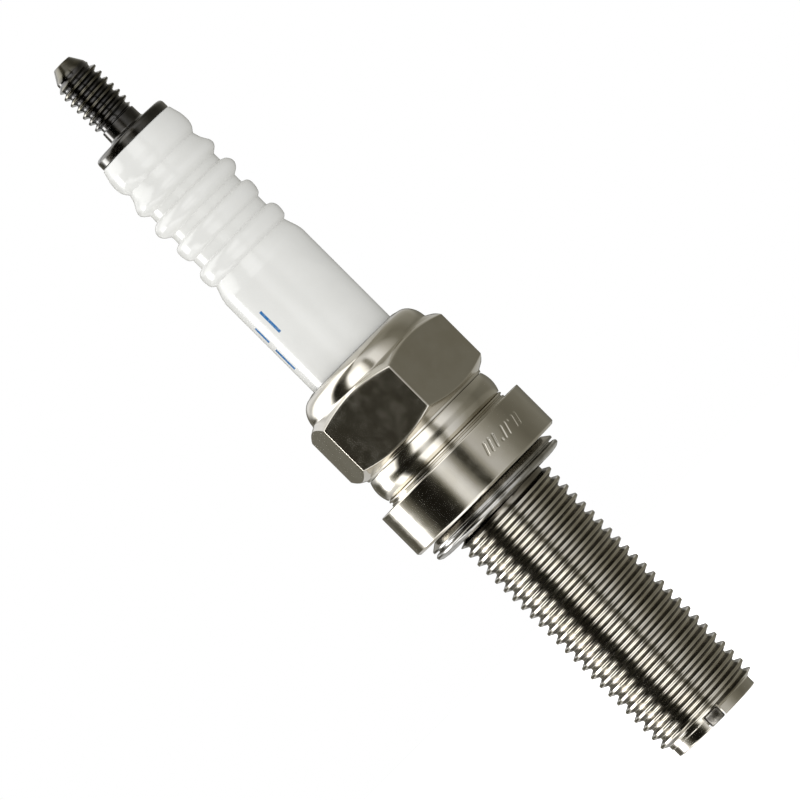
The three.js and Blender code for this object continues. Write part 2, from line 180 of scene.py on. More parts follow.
STAMPS_START = FRONT + 14
STAMPS_END = FRONT + 60
STAMP_DEPTH = 0.045
STAMP_WIDTH = 0.11
STAMP_EDGE = 1.4  # stamp widths from a mark's middle line to where its side has run out
STAMP_MID = 2.4  # height of the marks' middle over the seat
STAMP_LOW = 0.9  # from the seat to the finely divided part of the ring's side
STAMP_TOP = 0.5  # from that part to the ring's top
STAMP_ROWS = 48
TICK = (0.35, 0.9)  # slant and length
DOT = (0.0, 0.0)
# Plain ticks and dots that spell nothing: (degrees right of the front, lift, slant, length).
STAMPS = [
    (17, 0.0, *TICK),
    (21, 0.0, *TICK),
    (25, 0.0, *TICK),
    (29, -0.4, *DOT),
    (33, 0.0, *TICK),
    (37, 0.0, *TICK),
    (41, 0.4, *DOT),
    (45, 0.0, *TICK),
    (49, 0.0, *TICK),
]


# ---- Outlines ---------------------------------------------------------------------------


def rounded(corners, steps=5):
    """Turns (radius, height, corner radius) into points, and each corner into a short curve."""
    points = []
    for index, (radius, height, size) in enumerate(corners):
        here = Vector((radius, height))
        if size == 0 or index in (0, len(corners) - 1):
            points.append((radius, height))
            continue
        back = Vector(corners[index - 1][:2]) - here
        ahead = Vector(corners[index + 1][:2]) - here
        half = back.angle(ahead) / 2
        reach = min(size / math.tan(half), 0.49 * back.length, 0.49 * ahead.length)
        start = here + back.normalized() * reach
        end = here + ahead.normalized() * reach
        for step in range(steps + 1):
            share = step / steps
            # a quadratic curve that leaves both sides smoothly
            point = start * (1 - share) ** 2 + here * 2 * share * (1 - share) + end * share**2
            points.append((point.x, point.y))
    return points


def arc(centre_r, centre_z, size, start_deg, end_deg, steps, stretch=1):
    """Points of a circular arc in an outline, made taller by a stretch above 1."""
    points = []
    for step in range(steps + 1):
        angle = math.radians(start_deg + (end_deg - start_deg) * step / steps)
        points.append((centre_r + size * math.cos(angle), centre_z + stretch * size * math.sin(angle)))
    return points


# ---- Skins: rows of corners, welded into one closed mesh --------------------------------


def even_angles(steps):
    return [360 * step / steps for step in range(steps + 1)]


def turned_row(radius, height, angles):
    return [(radius, height, angle) for angle in angles]


def thread_rows(root_r, crest_r, pitch, low, high, fades, angles, crest_height):
    """A right-hand thread: each row climbs one pitch in a turn, and fades out at both ends.

    fades holds the heights that the lower and upper ends take to fade, and crest_height is
    the height of one crest at angle 0.
    """
    rows = []
    first = math.floor((low - crest_height) / pitch) - 1
    last = math.ceil((high - crest_height) / pitch) + 1
    for turn in range(first, last):
        for share, depth in THREAD_FORM:
            row = []
            for angle in angles:
                climbed = crest_height + (turn + share + angle / 360) * pitch
                height = min(max(climbed, low), high)
                fade = min(1, (height - low) / fades[0], (high - height) / fades[1])
                fade = fade * fade * (3 - 2 * fade)
                row.append((root_r + (crest_r - root_r) * depth * fade, height, angle))
            rows.append(row)
    return rows


def mark_sharp(shape):
    """Smooth faces, with a sharp edge wherever they meet at more than SHARP_DEG."""
    limit = math.radians(SHARP_DEG)
    for face in shape.faces:
        face.smooth = True
    for edge in shape.edges:
        edge.smooth = len(edge.link_faces) == 2 and edge.calc_face_angle() < limit


def add_piece(shape, name):
    """Turns a bmesh into an object in the scene."""
    mesh = bpy.data.meshes.new(name)
    shape.to_mesh(mesh)
    shape.free()
    piece = bpy.data.objects.new(name, mesh)
    bpy.context.scene.collection.objects.link(piece)
    return piece


def even_normals(piece):
    """Normals weighted by face area, so that flats stay flat beside their rounded edges."""
    normals = piece.modifiers.new("normals", "WEIGHTED_NORMAL")
    normals.keep_sharp = True


class Skin:
    """Collects rows of (radius, height, angle) corners and welds them into one mesh."""

    def __init__(self, name):
        self.name = name
        self.shape = bmesh.new()

    def corners(self, row):
        made = []
        for radius, height, angle in row:
            turn = math.radians(angle)
            place = (radius * math.cos(turn) * MM, radius * math.sin(turn) * MM, height * MM)
            made.append(self.shape.verts.new(place))
        return made

    def cover(self, rows):
        """Quads between each row and the next, all with the same number of corners."""
        lower = self.corners(rows[0])
        for row in rows[1:]:
            upper = self.corners(row)
            for column in range(len(row) - 1):
                self.shape.faces.new((lower[column], lower[column + 1], upper[column + 1], upper[column]))
            lower = upper

    def turn(self, outline, angles):
        """Covers what an outline of (radius, height) points sweeps round the axis."""
        self.cover([turned_row(radius, height, angles) for radius, height in outline])

    def stitch(self, first, second):
        """Triangles between two rows with different numbers of corners, side by side."""
        near, far = self.corners(first), self.corners(second)
        i = j = 0
        while i < len(near) - 1 or j < len(far) - 1:
            take_near = j == len(far) - 1
            if i < len(near) - 1 and j < len(far) - 1:
                take_near = first[i + 1][2] <= second[j + 1][2]
            if take_near:
                self.shape.faces.new((near[i], near[i + 1], far[j]))
                i += 1
            else:
                self.shape.faces.new((near[i], far[j + 1], far[j]))
                j += 1

    def cap(self, row, height):
        """A fan from a row to the point on the axis at that height."""
        rim = self.corners(row)
        middle = self.shape.verts.new((0, 0, height * MM))
        for column in range(len(row) - 1):
            self.shape.faces.new((rim[column], rim[column + 1], middle))

    def finish(self):
        bmesh.ops.remove_doubles(self.shape, verts=self.shape.verts, dist=WELD)
        bmesh.ops.dissolve_degenerate(self.shape, edges=self.shape.edges, dist=WELD)
        bmesh.ops.recalc_face_normals(self.shape, faces=self.shape.faces)
        mark_sharp(self.shape)
        piece = add_piece(self.shape, self.name)
        even_normals(piece)
        return piece


# ---- Shell ------------------------------------------------------------------------------


def collar_angles():
    """Angles round the hexagon: close together at its corners and where the ring is stamped."""
    angles = set()
    for corner in range(0, 361, 60):
        for offset in NEAR_CORNER:
            angles.add(round(corner + offset, 3))
            angles.add(round(corner - offset, 3))
        for step in range(1, int(60 / COLLAR_STEP)):
            angles.add(round(corner + step * COLLAR_STEP, 3))
    for step in range(int((STAMPS_END - STAMPS_START) / STAMP_STEP)):
        angles.add(round((STAMPS_START + step * STAMP_STEP) % 360, 3))
    angles.update((0.0, 360.0))
    return sorted(angle for angle in angles if 0 <= angle <= 360)


def stamp_depth(angle, height):
    """How deep the stamped marks lie below the ring at this place."""
    across = math.radians((angle - FRONT) % 360) * RING_R
    up = height - SEAT_Z - STAMP_MID
    deepest = 0.0
    for place, lift, slant, length in STAMPS:
        side = across - math.radians(place) * RING_R
        rise = up - lift
        along = min(max(rise, -length / 2), length / 2)
        distance = math.hypot(side - slant * along, rise - along)
        share = min(max(STAMP_EDGE - distance / STAMP_WIDTH, 0), 1)
        deepest = max(deepest, share * share * (3 - 2 * share))
    return STAMP_DEPTH * deepest


def hex_radius(angle):
    """The hexagon's radius in this direction, with its corners rounded."""
    off_flat = abs((angle % 60) - 30)
    off_corner = math.radians(30 - off_flat)
    # the corner's circle: how far from the axis its centre is, and where it meets the flat
    centre = (HEX_APOTHEM - HEX_CORNER_ROUND) / math.cos(math.radians(30))
    tangent = math.atan2(centre * 0.5, HEX_APOTHEM)
    if math.radians(off_flat) <= tangent:
        return HEX_APOTHEM / math.cos(math.radians(off_flat))
    inside = HEX_CORNER_ROUND**2 - (centre * math.sin(off_corner)) ** 2
    return centre * math.cos(off_corner) + math.sqrt(max(inside, 0))


def hexagon_rows(angles):
    """Rows up the hexagon: a turned chamfer, the flats, and the upper chamfer."""
    rows = [turned_row(HEX_FOOT_R, 0, angles)]
    for inward, along in HEX_EDGE:
        row = []
        for angle in angles:
            width = hex_radius(angle) - HEX_FOOT_R
            inside = max(width - inward * HEX_EDGE_ROUND, 0)
            rise = max(width * HEX_CHAMFER + along * HEX_EDGE_ROUND, 0)
            row.append((HEX_FOOT_R + inside, rise, angle))
        rows.append(row)
    lower = [[(r, HEX_LOW + z, a) for r, z, a in row] for row in rows]
    upper = [[(r, HEX_HIGH - z, a) for r, z, a in row] for row in reversed(rows)]
    flats = []
    for share in (0.25, 0.5, 0.75):
        row = []
        for low, high in zip(lower[-1], upper[0]):
            row.append((low[0], low[1] + (high[1] - low[1]) * share, low[2]))
        flats.append(row)
    return lower + flats + upper


def cover_barrel(skin, barrel):
    """From the seam round the firing end, and up the thread to the seat ring's underside."""
    rim = [
        (BORE_R, SEAM_Z, 0),
        (BORE_R, SHELL_LOW + 0.3, 0.1),
        (MOUTH_R, SHELL_LOW, 0.08),
        (PILOT_R, SHELL_LOW, 0.2),
        (PILOT_R, SHELL_LOW + 0.25, 0),
        (PILOT_R, THREAD_LOW - 0.12, 0),
        (PILOT_R, THREAD_LOW - 0.06, 0),
        (THREAD_ROOT_R, THREAD_LOW, 0),
    ]
    skin.turn(rounded(rim), barrel)
    skin.cover(
        thread_rows(
            THREAD_ROOT_R,
            THREAD_CREST_R,
            THREAD_PITCH,
            THREAD_LOW,
            THREAD_HIGH,
            THREAD_FADES,
            barrel,
            THREAD_START,
        )
    )
    neck = [
        (THREAD_ROOT_R, THREAD_HIGH, 0),
        (PILOT_R, THREAD_HIGH + 0.07, 0),
        (PILOT_R, SEAT_Z, 0.1),
        (UNDERSIDE_R, SEAT_Z, 0),
    ]
    skin.turn(rounded(neck), barrel)


def cover_ring(skin, barrel, collar):
    """The seat ring, with the stamped marks pressed into its side."""
    first_r = UNDERSIDE_R + 0.5
    skin.stitch(turned_row(UNDERSIDE_R, SEAT_Z, barrel), turned_row(first_r, SEAT_Z, collar))
    low, high = SEAT_Z + STAMP_LOW, RING_TOP - STAMP_TOP
    edge = [
        (first_r, SEAT_Z, 0),
        (RING_R - 0.22, SEAT_Z, 0.12),
        (RING_R, SEAT_Z + 0.2, 0.12),
        (RING_R, low, 0),
    ]
    skin.turn(rounded(edge), collar)
    stamped = []
    for step in range(STAMP_ROWS):
        height = low + (high - low) * step / (STAMP_ROWS - 1)
        stamped.append([(RING_R - stamp_depth(angle, height), height, angle) for angle in collar])
    skin.cover(stamped)
    band = [
        (RING_R, high, 0),
        (RING_R, RING_TOP, 0.1),
        (BAND_R + 0.12, RING_TOP, 0.08),
        (BAND_R + 0.12, RING_TOP + 0.18, 0.05),
        (BAND_R - 0.05, RING_TOP + 0.25, 0.05),
        (BAND_R - 0.05, RING_TOP + 0.35, 0.05),
        (BAND_R + 0.14, RING_TOP + 0.42, 0.05),
        (BAND_R + 0.1, BAND_TOP - 0.12, 0.06),
        (BAND_R - 0.1, BAND_TOP, 0.05),
    ]
    skin.turn(rounded(band), collar)


def cover_bulge(skin, collar):
    """The buckled groove between the band and the hexagon."""
    top = HEX_LOW - BULGE_FOOT
    half_arc = math.degrees(math.asin((top - BAND_TOP) / 2 / BULGE_ROUND))
    bulge = arc(BULGE_R - BULGE_ROUND, (BAND_TOP + top) / 2, BULGE_ROUND, -half_arc, half_arc, 16)
    foot = [
        (*bulge[-1], 0),
        (HEX_FOOT_R - 0.3, top, 0.04),
        (HEX_FOOT_R - 0.05, HEX_LOW - 0.18, 0.05),
        (HEX_FOOT_R, HEX_LOW, 0),
    ]
    skin.turn([(BAND_R - 0.1, BAND_TOP), *bulge, *rounded(foot)], collar)


def cover_lip(skin, collar):
    """The crimped lip, rolled in to the insulator."""
    centre_z = SHELL_TOP - 0.15 - LIP_STRETCH * LIP_ROUND
    roll = arc(LIP_R - LIP_ROUND, centre_z, LIP_ROUND, 6, 84, 20, LIP_STRETCH)
    mouth = [
        (*roll[-1], 0),
        (LIP_MOUTH_R + 0.04, SHELL_TOP, 0.1),
        (LIP_MOUTH_R, LIP_INNER_Z, 0),
    ]
    skin.turn([(HEX_FOOT_R, HEX_HIGH), *roll, *rounded(mouth)], collar)


def cover_inside(skin, barrel, collar):
    """From the lip down through the talc chamber and the bore, to the skin's seam."""
    first_z = LIP_INNER_Z - 0.25
    skin.stitch(turned_row(LIP_MOUTH_R, LIP_INNER_Z, collar), turned_row(LIP_MOUTH_R, first_z, barrel))
    bore = [
        (LIP_MOUTH_R, first_z),
        (CHAMBER_R, SHELL_TOP - 0.9),
        (CHAMBER_R, SEAT_Z + 1.25),
        (BODY_BORE_R, SEAT_Z - 0.5),
        (BODY_BORE_R, SEAT_LEDGE_Z + BODY_BORE_R - BORE_R),
        (BORE_R, SEAT_LEDGE_Z),
        (BORE_R, SEAM_Z),
    ]
    skin.turn(bore, barrel)


def make_shell():
    skin = Skin("shell_surface")
    barrel = even_angles(BARREL_STEPS)
    collar = collar_angles()
    cover_barrel(skin, barrel)
    cover_ring(skin, barrel, collar)
    cover_bulge(skin, collar)
    skin.cover(hexagon_rows(collar))
    cover_lip(skin, collar)
    cover_inside(skin, barrel, collar)
    shell = skin.finish()
    cut_slot(shell)
    return shell


def cut_slot(shell):
    """Opens the slot at the firing end that the ground electrode stands in."""
    cutter = make_bar("slot", *SLOT_REACH, SLOT_WIDTH, SHELL_LOW - 1, BAR_HIGH + SLOT_GAP, 0)
    cutter.modifiers.clear()
    difference = shell.modifiers.new("slot", "BOOLEAN")
    difference.operation = "DIFFERENCE"
    difference.solver = "EXACT"
    difference.object = cutter
    normals = shell.modifiers["normals"]
    normals.show_viewport = False
    depsgraph = bpy.context.evaluated_depsgraph_get()
    cut = bpy.data.meshes.new_from_object(shell.evaluated_get(depsgraph))
    normals.show_viewport = True
    shell.modifiers.remove(difference)
    shell.data = cut
    bpy.data.objects.remove(cutter)
    shape = bmesh.new()
    shape.from_mesh(cut)
    mark_sharp(shape)
    shape.to_mesh(cut)
    shape.free()


# ---- Gasket -----------------------------------------------------------------------------


def make_gasket():
    """Folded steel strip crushed into a ring: a thin leaf, coned up inwards, over a rolled lobe."""
    crown_r = GASKET_R - 0.74
    leaf_r = GASKET_R - 0.1
    fold_r = GASKET_R - 0.55
    fold_z = GASKET_LOW + 0.72
    corners = [
        (GASKET_INNER_R, GASKET_TOP - 0.6, 0),
        (GASKET_INNER_R, GASKET_LOW + 0.2, 0.08),
        (GASKET_INNER_R + 0.45, GASKET_LOW, 0.1),
        (GASKET_R - 0.94, GASKET_LOW, 0.6),
        (GASKET_R - 0.32, GASKET_LOW + 0.1, 0.6),
        (GASKET_R, GASKET_LOW + 0.32, 0.5),
        (GASKET_R, GASKET_LOW + 0.54, 0.4),
        (GASKET_R - 0.2, fold_z - 0.05, 0.2),
        (fold_r, fold_z, 0.02),
        (fold_r, fold_z + 0.1, 0.02),
        (leaf_r, fold_z + 0.14, 0.08),
        (leaf_r, fold_z + 0.35, 0.09),
        (crown_r, GASKET_TOP, 0.3),
        (GASKET_INNER_R, GASKET_TOP, 0.06),
        (GASKET_INNER_R, GASKET_TOP - 0.6, 0),
    ]
    skin = Skin("gasket_surface")
    skin.turn(rounded(corners), even_angles(BARREL_STEPS))
    return skin.finish()


# ---- Insulator --------------------------------------------------------------------------

INSULATOR_BORE_R = 1.14  # round the centre electrode
STACK_BORE_R = 1.82  # round the seals and the resistor
BODY_R = 3.35
BARREL_R = 4.38
# Shoulder, four ribs and collar: (radius, distance below the top, corner radius).
RIBS = [
    (4.38, 14.67, 1.5),
    (4.27, 14.17, 1.5),
    (3.9, 13.09, 0.04),
    (4.26, 12.83, 0.8),
    (4.37, 12.17, 2.0),
    (4.3, 11.67, 1.0),
    (4.05, 11.38, 0.5),
    (3.72, 11.26, 0.08),
    (3.72, 10.29, 0.1),
    (4.02, 10.09, 0.5),
    (4.18, 9.57, 2.0),
    (4.2, 9.0, 1.0),
    (4.02, 8.67, 0.4),
    (3.6, 8.51, 0.08),
    (3.6, 7.72, 0.1),
    (4.12, 7.39, 0.8),
    (4.38, 6.99, 1.5),
    (4.34, 6.59, 1.0),
    (4.06, 6.2, 0.6),
    (3.63, 6.04, 0.08),
    (3.63, 5.29, 0.1),
    (4.06, 4.97, 0.8),
    (4.27, 4.67, 1.5),
    (4.22, 4.27, 1.5),
    (3.8, 3.57, 1.5),
    (3.62, 2.91, 0.05),
    (3.98, 2.44, 1.0),
    (4.11, 1.9, 2.0),
    (4.06, 1.1, 2.0),
    (3.78, 0.08, 0.08),
    (3.68, 0.0, 0.04),
]


def make_insulator():
    skin = Skin("insulator_surface")
    outline = [
        (INSULATOR_BORE_R, INSULATOR_LOW + 1, 0),
        (INSULATOR_BORE_R, INSULATOR_LOW, 0.08),
        (1.45, INSULATOR_LOW, 0.2),
        (2.35, SEAT_LEDGE_Z - 0.14, 0.3),
        (BODY_R, SEAT_LEDGE_Z + 0.86, 0.2),
        (BODY_R, SEAT_Z - 0.2, 0.5),
        (INSULATOR_R, SEAT_Z + 1.6, 0.4),
        (INSULATOR_R, SEAT_Z + 9.9, 0.2),
        (BARREL_R, SEAT_Z + 10.6, 0.2),
        *[(radius, INSULATOR_TOP - below, size) for radius, below, size in RIBS],
        (STACK_BORE_R, INSULATOR_TOP, 0.1),
        (STACK_BORE_R, SEAT_Z - 1.82, 0.05),
        (INSULATOR_BORE_R, SEAT_Z - 2.5, 0.05),
        (INSULATOR_BORE_R, INSULATOR_LOW + 1, 0),
    ]
    skin.turn(rounded(outline), even_angles(BARREL_STEPS))
    return skin.finish()


# ---- Terminal stud ----------------------------------------------------------------------

TAIL_R = 1.3
SHANK_R = 1.7
FLANGE_GAP = 0.03  # between the flange and the insulator
TIP_FLAT_R = 0.2


def make_terminal():
    skin = Skin("terminal_surface")
    around = even_angles(TERMINAL_STEPS)
    below = [
        (TAIL_R, STUD_LOW, 0),
        (TAIL_R, STUD_LOW + 2.8, 0.1),
        (SHANK_R, STUD_LOW + 3.0, 0.1),
        (SHANK_R, INSULATOR_TOP + FLANGE_GAP, 0.05),
        (FLANGE_R, INSULATOR_TOP + FLANGE_GAP, 0.06),
        (FLANGE_R, FLANGE_TOP, 0.5),
        (1.95, FLANGE_TOP, 0.1),
        (1.7, FLANGE_TOP + 0.2, 0.2),
        (1.67, TERMINAL_THREAD_LOW - 0.1, 0.1),
        (TERMINAL_ROOT_R, TERMINAL_THREAD_LOW, 0),
    ]
    skin.cap(turned_row(TAIL_R, STUD_LOW, around), STUD_LOW)
    skin.turn(rounded(below, steps=8), around)
    skin.cover(
        thread_rows(
            TERMINAL_ROOT_R,
            TERMINAL_CREST_R,
            TERMINAL_PITCH,
            TERMINAL_THREAD_LOW,
            TERMINAL_THREAD_HIGH,
            TERMINAL_FADES,
            around,
            TERMINAL_START,
        )
    )
    tip = [
        (TERMINAL_ROOT_R, TERMINAL_THREAD_HIGH, 0),
        (1.32, TERMINAL_THREAD_HIGH + 0.32, 0.8),
        (0.86, STUD_TOP - 0.04, 0.15),
        (0.4, STUD_TOP, 0.5),
        (TIP_FLAT_R, STUD_TOP, 0),
    ]
    skin.turn(rounded(tip, steps=8), around)
    skin.cap(turned_row(TIP_FLAT_R, STUD_TOP, around), STUD_TOP)
    return skin.finish()


# ---- Electrodes -------------------------------------------------------------------------

CENTRE_SHAFT_R = 1.1
CENTRE_BOSS_R = 1.05
CORE_POCKET_R = 0.63  # round the copper core
CORE_POCKET_Z = ELECTRODE_LOW + 1.82
CENTRE_FLAT_R = 0.2  # middle of the turned end, closed with a fan
TIP_INNER_R = 0.1
BAR_SLICES = 12


def make_centre_electrode():
    skin = Skin("centre_electrode_surface")
    around = even_angles(CENTRE_STEPS)
    outline = [
        (CENTRE_FLAT_R, ELECTRODE_LOW, 0),
        (0.5, ELECTRODE_LOW, 0.08),
        (CENTRE_SHAFT_R, ELECTRODE_LOW + 0.75, 0.15),
        (CENTRE_SHAFT_R, ELECTRODE_TOP - 2.27, 0.05),
        (ELECTRODE_R, ELECTRODE_TOP - 1.63, 0.1),
        (ELECTRODE_R, ELECTRODE_TOP - 1.0, 0.1),
        (CENTRE_BOSS_R, ELECTRODE_TOP - 1.0, 0.05),
        (CENTRE_BOSS_R, ELECTRODE_TOP, 0.1),
        (CORE_POCKET_R, ELECTRODE_TOP, 0.03),
        (CORE_POCKET_R, CORE_POCKET_Z, 0),
    ]
    skin.cap(turned_row(CENTRE_FLAT_R, ELECTRODE_LOW, around), ELECTRODE_LOW)
    skin.turn(rounded(outline), around)
    skin.cap(turned_row(CORE_POCKET_R, CORE_POCKET_Z, around), CORE_POCKET_Z)
    return skin.finish()


def make_centre_tip():
    skin = Skin("centre_electrode_tip_surface")
    around = even_angles(TIP_STEPS)
    outline = [
        (TIP_INNER_R, TIP_LOW, 0),
        (TIP_R, TIP_LOW, 0.05),
        (TIP_R, TIP_TOP, 0.03),
        (TIP_INNER_R, TIP_TOP, 0),
    ]
    skin.cap(turned_row(TIP_INNER_R, TIP_LOW, around), TIP_LOW)
    skin.turn(rounded(outline), around)
    skin.cap(turned_row(TIP_INNER_R, TIP_TOP, around), TIP_TOP)
    return skin.finish()


def make_bar(name, inner_r, outer_r, width, low, high, edge_round):
    """A bar along the front radius, with a curved outer end and rounded edges."""
    shape = bmesh.new()
    grid = []
    for step in range(BAR_SLICES + 1):
        side = -width / 2 + width * step / BAR_SLICES
        outer = math.sqrt(outer_r**2 - side**2)
        column = [(inner_r, side, low), (inner_r, side, high), (outer, side, high), (outer, side, low)]
        grid.append([shape.verts.new(Vector(place) * MM) for place in column])
    for first, second in zip(grid, grid[1:]):
        for corner in range(4):
            after = (corner + 1) % 4
            shape.faces.new((first[corner], first[after], second[after], second[corner]))
    shape.faces.new(grid[0])
    shape.faces.new(list(reversed(grid[-1])))
    bmesh.ops.recalc_face_normals(shape, faces=shape.faces)
    to_front = Matrix.Rotation(math.radians(FRONT), 3, "Z")
    bmesh.ops.rotate(shape, verts=shape.verts, cent=(0, 0, 0), matrix=to_front)
    for face in shape.faces:
        face.smooth = True
    piece = add_piece(shape, name)
    bevel = piece.modifiers.new("edges", "BEVEL")
    bevel.width = edge_round * MM
    bevel.segments = 3
    bevel.limit_method = "ANGLE"
    bevel.angle_limit = math.radians(SHARP_DEG)
    even_normals(piece)
    return piece


# ---- Materials --------------------------------------------------------------------------

NOISE_ROUGHNESS = 0.55


class Nodes:
    """Adds shader nodes to a tree. Most methods give back the new node's output."""

    def __init__(self, tree):
        self.tree = tree

    def node(self, kind, **settings):
        made = self.tree.nodes.new(kind)
        for key, value in settings.items():
            setattr(made, key, value)
        return made

    def feed(self, socket, value):
        """Links an output to a socket, or sets the socket to a number, colour or vector."""
        if isinstance(value, bpy.types.NodeSocket):
            self.tree.links.new(value, socket)
        elif isinstance(value, tuple) and len(value) == 3 and socket.type == "RGBA":
            socket.default_value = (*value, 1)
        else:
            socket.default_value = value

    def math(self, operation, first, second=0.0, third=0.0):
        made = self.node("ShaderNodeMath", operation=operation)
        for socket, value in zip(made.inputs, (first, second, third)):
            self.feed(socket, value)
        return made.outputs[0]

    def both(self, first, second):
        return self.math("MULTIPLY", first, second)

    def spread(self, value, low, high, to_low=0.0, to_high=1.0):
        """Maps low..high to to_low..to_high, clamped and smooth."""
        made = self.node("ShaderNodeMapRange", interpolation_type="SMOOTHSTEP")
        for socket, part in zip(made.inputs, (value, low, high, to_low, to_high)):
            self.feed(socket, part)
        return made.outputs["Result"]

    def mix(self, share, first, second):
        """Mixes two colours."""
        made = self.node("ShaderNodeMix", data_type="RGBA")
        self.feed(made.inputs[0], share)
        self.feed(made.inputs[6], first)
        self.feed(made.inputs[7], second)
        return made.outputs[2]

    def split(self, vector):
        made = self.node("ShaderNodeSeparateXYZ")
        self.feed(made.inputs[0], vector)
        return made.outputs


class Look(Nodes):
    """A node material on the Principled shader, in the object's own coordinates."""

    def __init__(self, name, metallic=0.0, **sockets):
        self.material = bpy.data.materials.new(name)
        self.material.use_nodes = True
        super().__init__(self.material.node_tree)
        self.shader = self.tree.nodes["Principled BSDF"]
        self.set("Metallic", metallic)
        for socket, value in sockets.items():
            self.set(socket.replace("_", " "), value)
        self.position = self.node("ShaderNodeTexCoord").outputs["Object"]

    def set(self, socket, value):
        self.feed(self.shader.inputs[socket], value)

    def axes(self):
        """The radius, height and angle of the shaded point: millimetres, millimetres, radians."""
        x, y, z = self.split(self.position)
        radius = self.math("SQRT", self.math("ADD", self.both(x, x), self.both(y, y)))
        return self.both(radius, 1 / MM), self.both(z, 1 / MM), self.math("ARCTAN2", y, x)

    def noise(self, size_mm, stretch=(1, 1, 1), detail=4, seed=0.0):
        """Noise with features of about size_mm, stretched by a factor along each axis."""
        mapping = self.node("ShaderNodeMapping")
        self.feed(mapping.inputs["Vector"], self.position)
        self.feed(mapping.inputs["Location"], (seed, seed * 0.7, seed * 1.3))
        self.feed(mapping.inputs["Scale"], tuple(1 / (size_mm * MM * part) for part in stretch))
        texture = self.node("ShaderNodeTexNoise")
        self.feed(texture.inputs["Vector"], mapping.outputs["Vector"])
        self.feed(texture.inputs["Scale"], 1)
        self.feed(texture.inputs["Detail"], detail)
        self.feed(texture.inputs["Roughness"], NOISE_ROUGHNESS)
        return texture.outputs["Fac"]

    def two_tone(self, noise, light, dark):
        """Drifts from one colour to the other with a noise."""
        return self.mix(self.spread(noise, 0.35, 0.65), light, dark)

    def vary(self, noise, low, high):
        """Drifts from one number to the other with a noise."""
        return self.spread(noise, 0.3, 0.7, low, high)

    def bump(self, height, depth_mm, below=None):
        """A normal raised by a height of up to depth_mm, over another normal if there is one."""
        made = self.node("ShaderNodeBump")
        self.feed(made.inputs["Strength"], 1)
        self.feed(made.inputs["Distance"], depth_mm * MM)
        self.feed(made.inputs["Height"], height)
        if below is not None:
            self.feed(made.inputs["Normal"], below)
        return made.outputs["Normal"]


# Base colours; pairs are the light and the dark tone that a material drifts between.
PLATING = ((0.66, 0.63, 0.565), (0.61, 0.575, 0.5))
# dirt and painted shade: the dark tone of the thread's flanks
DIRT_AND_SHADE = (0.06, 0.054, 0.04)
NECK_SHADE = (0.08, 0.065, 0.045)
MOUTH_SHADE = (0.03, 0.026, 0.02)
GASKET_STEEL = ((0.48, 0.47, 0.45), (0.36, 0.352, 0.335))
GLAZE = ((0.86, 0.86, 0.83), (0.83, 0.83, 0.8))
INK = (0.03, 0.18, 0.45)
OXIDE = ((0.013, 0.012, 0.011), (0.028, 0.025, 0.022))
# wear and painted highlight: the lighter tone of the terminal's crests and tip
WORN_OXIDE_AND_HIGHLIGHT = ((0.055, 0.05, 0.032), (0.09, 0.08, 0.052))


def plated_steel():
    """Bright nickel over turned steel: fine turning lines, a mottled sheen, dirt and painted shade on the
    thread's flanks, painted shade at the neck and in the lip's crack.
    """
    look = Look("nickel_plating", metallic=1)
    radius, height, _ = look.axes()
    lines = look.noise(0.05, stretch=(60, 60, 1), detail=3)
    mottle = look.noise(0.9, detail=5)
    cloud = look.noise(3.0, detail=2, seed=3.1)
    dirt_and_shade_patches = look.noise(0.7, detail=4, seed=7.7)

    # painted shade: the thread's flanks are darkened in patches, partly dirt and partly painted shade,
    # while the crests and roots stay light
    flank = look.both(
        look.spread(radius, THREAD_ROOT_R + 0.03, THREAD_ROOT_R + 0.13),
        look.spread(radius, THREAD_CREST_R - 0.18, THREAD_CREST_R - 0.05, 1, 0),
    )
    threaded = look.spread(height, THREAD_LOW, THREAD_LOW + 0.3)
    dirt_and_shade = look.both(look.both(flank, threaded), look.vary(dirt_and_shade_patches, 0.6, 0.9))
    dirtied_and_shaded = look.mix(dirt_and_shade, look.two_tone(cloud, *PLATING), DIRT_AND_SHADE)

    # the undercut and the last crest lie in the gasket's shade
    neck = look.both(
        look.spread(radius, THREAD_CREST_R + 0.05, THREAD_CREST_R + 0.2, 0.7, 0),
        look.spread(height, THREAD_HIGH - 0.8, THREAD_HIGH - 0.2),
    )
    unlit = look.both(neck, look.spread(height, SEAT_Z + 0.2, SEAT_Z + 0.4, 1, 0))
    shaded = look.mix(unlit, dirtied_and_shaded, NECK_SHADE)

    # painted shade in the crack between the lip and the insulator
    mouth = look.both(
        look.spread(radius, LIP_MOUTH_R + 0.02, LIP_MOUTH_R + 0.2, 1, 0),
        look.spread(height, SHELL_TOP - 0.3, SHELL_TOP - 0.1),
    )
    look.set("Base Color", look.mix(mouth, shaded, MOUTH_SHADE))
    look.set("Roughness", look.math("ADD", look.vary(mottle, 0.07, 0.15), look.both(dirt_and_shade, 0.15)))
    look.set("Normal", look.bump(lines, 0.001, look.bump(mottle, 0.003)))
    return look.material


def gasket_steel():
    look = Look("gasket_steel", metallic=1)
    lines = look.noise(0.06, stretch=(40, 40, 1), detail=3)
    cloud = look.noise(0.8, detail=4)
    look.set("Base Color", look.two_tone(cloud, *GASKET_STEEL))
    look.set("Roughness", look.vary(cloud, 0.1, 0.2))
    look.set("Normal", look.bump(lines, 0.002))
    return look.material


INK_EDGE = 0.04  # half the width over which a bar's edge softens
# Plain bars that spell nothing: (degrees left of the front, height, half width, half height).
PRINT_BARS = [
    (40, 48.5, 0.16, 1.15),
    (68, 48.2, 0.2, 0.8),
    (70, 45.5, 0.22, 1.1),
]


